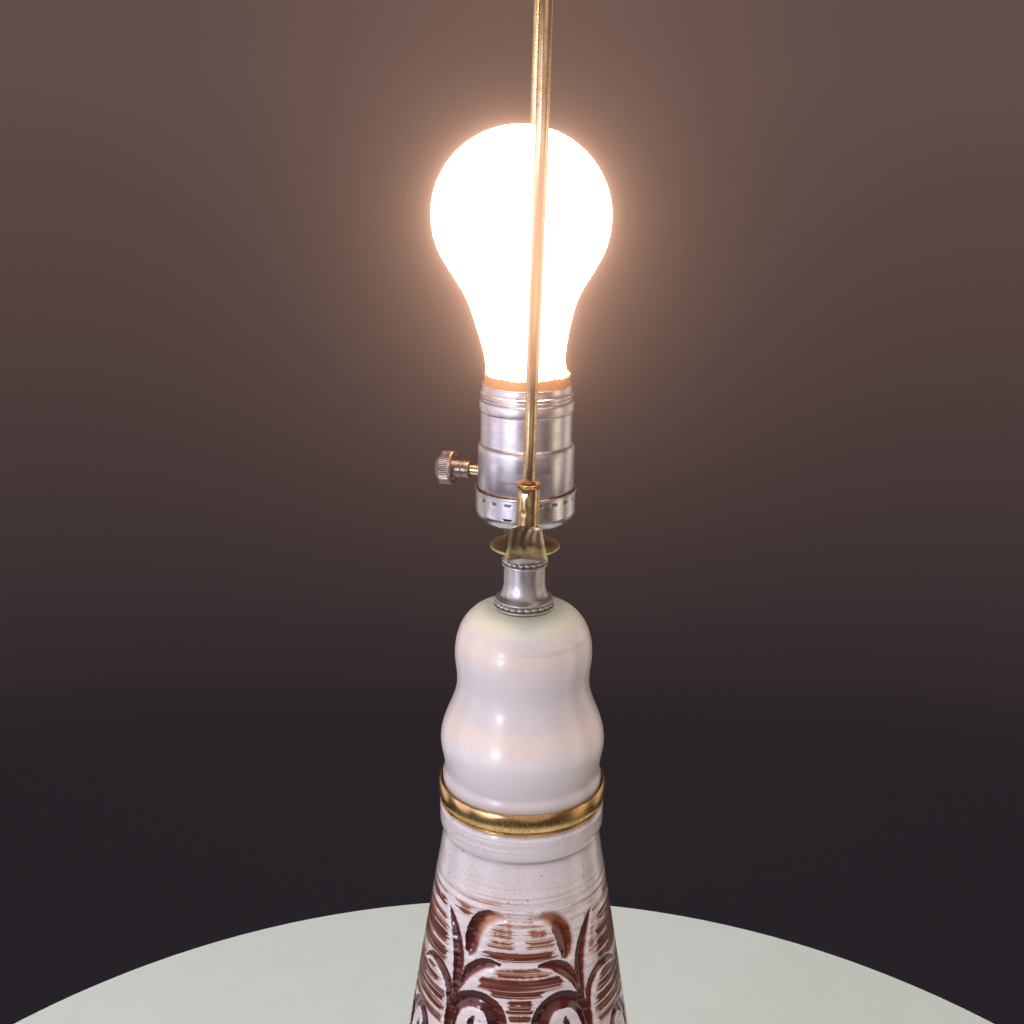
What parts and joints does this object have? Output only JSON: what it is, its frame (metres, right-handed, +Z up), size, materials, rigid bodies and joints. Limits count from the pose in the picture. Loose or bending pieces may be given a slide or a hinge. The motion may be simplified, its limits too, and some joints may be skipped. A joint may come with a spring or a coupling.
{
  "type": "table lamp",
  "caption": "Tall ceramic table lamp: hollow cone body under a two-bulge upper body, brass ring, metal neck, harp on a saddle, turn-knob socket and a frosted screw-in bulb; no shade, no cord.",
  "frame": {"origin": "centre of the felt pad's underside, on the table", "axes": "+Z up the lamp's pipe; -Y is the front, where one leg of the harp stands; +X is to the right as seen from the front"},
  "size_m": [0.1706, 0.1722, 0.7192],
  "materials": {
    "felt": "dense green wool felt",
    "glazed_lower": "glossy cream glaze dry-brushed with rust brown, dark brown carved ornament",
    "glazed_upper": "glossy off-white glaze with fine brown specks and a peach blush",
    "brass": "aged brass with brown patina",
    "nickel": "worn nickel plate",
    "bronzed_nickel": "bronze-toned plate, worn bright on the edges",
    "steel": "zinc-plated steel",
    "aluminium": "spun aluminium, softly brushed round",
    "cardboard": "scorched brown fibre paper with a ragged rim",
    "phenolic": "black moulded phenolic",
    "bakelite": "dark brown moulded bush",
    "solder": "dull solder",
    "frosted_glass": "inside-frosted glass, lit",
    "clear_glass": "clear glass",
    "tungsten": "fine drawn wire"
  },
  "bodies": {
    "root": {"felt_pad": "felt", "lower_body": "glazed_lower", "cord_outlet_bush": "bakelite", "cord_outlet_ring": "brass", "brass_ring": "brass", "upper_body": "glazed_upper", "neck_spacer": "nickel", "lamp_pipe": "steel", "pipe_washer": "steel", "lock_washer": "steel", "pipe_nut": "steel", "harp_saddle": "brass", "socket_cap": "aluminium", "cap_set_screw": "steel", "cap_liner": "cardboard", "socket_shell": "aluminium", "cardboard_liner": "cardboard", "socket_works": "phenolic", "terminal_screw_brass": "brass", "terminal_screw_nickel": "nickel", "screw_shell": "brass", "centre_contact": "brass"},
    "switch": {"switch_shaft": "brass", "switch_knob": "bronzed_nickel"},
    "bulb_carrier": {"bulb_tip_contact": "solder"},
    "bulb": {"bulb_base": "nickel", "bulb_insulator": "phenolic", "bulb_glass": "frosted_glass", "bulb_stem": "clear_glass", "bulb_filament": "tungsten"},
    "harp": {"harp": "brass", "harp_stud": "brass"},
    "ferrule_front": {"ferrule_front": "brass"},
    "ferrule_back": {"ferrule_back": "brass"},
    "finial_carrier": {"finial_bush": "brass"},
    "finial": {"finial": "brass"}
  },
  "joints": [
    {"name": "knob_turn", "type": "hinge", "parent": "root", "child": "switch", "pos_m": [0, 0, 0.489], "axis": [-0.9659, 0.2588, 0], "continuous": true},
    {"name": "bulb_rise", "type": "slide", "parent": "root", "child": "bulb_carrier", "axis": [0, 0, 1], "range_m": [0, 0.0255]},
    {"name": "bulb_turn", "type": "hinge", "parent": "bulb_carrier", "child": "bulb", "pos_m": [0, 0, 0.5], "axis": [0, 0, 1], "range_deg": [0, 2520]},
    {"name": "harp_lift", "type": "slide", "parent": "root", "child": "harp", "axis": [0.0175, 0.0002, 0.9998], "range_m": [0, 0.03]},
    {"name": "ferrule_front_slide", "type": "slide", "parent": "harp", "child": "ferrule_front", "axis": [0.0175, 0.0002, 0.9998], "range_m": [0, 0.019]},
    {"name": "ferrule_back_slide", "type": "slide", "parent": "harp", "child": "ferrule_back", "axis": [0.0175, 0.0002, 0.9998], "range_m": [0, 0.019]},
    {"name": "finial_rise", "type": "slide", "parent": "harp", "child": "finial_carrier", "axis": [0.0175, 0.0002, 0.9998], "range_m": [-0.0021, 0.0078]},
    {"name": "finial_turn", "type": "hinge", "parent": "finial_carrier", "child": "finial", "pos_m": [0, 0, 0.461], "axis": [0.0175, 0.0002, 0.9998], "range_deg": [-803.6, 2976.4]}
  ],
  "couplings": [
    {"joint": "bulb_rise", "follows": "bulb_turn", "m_per_rad": 0.00057757},
    {"joint": "finial_rise", "follows": "finial_turn", "m_per_rad": 0.00014972}
  ]
}
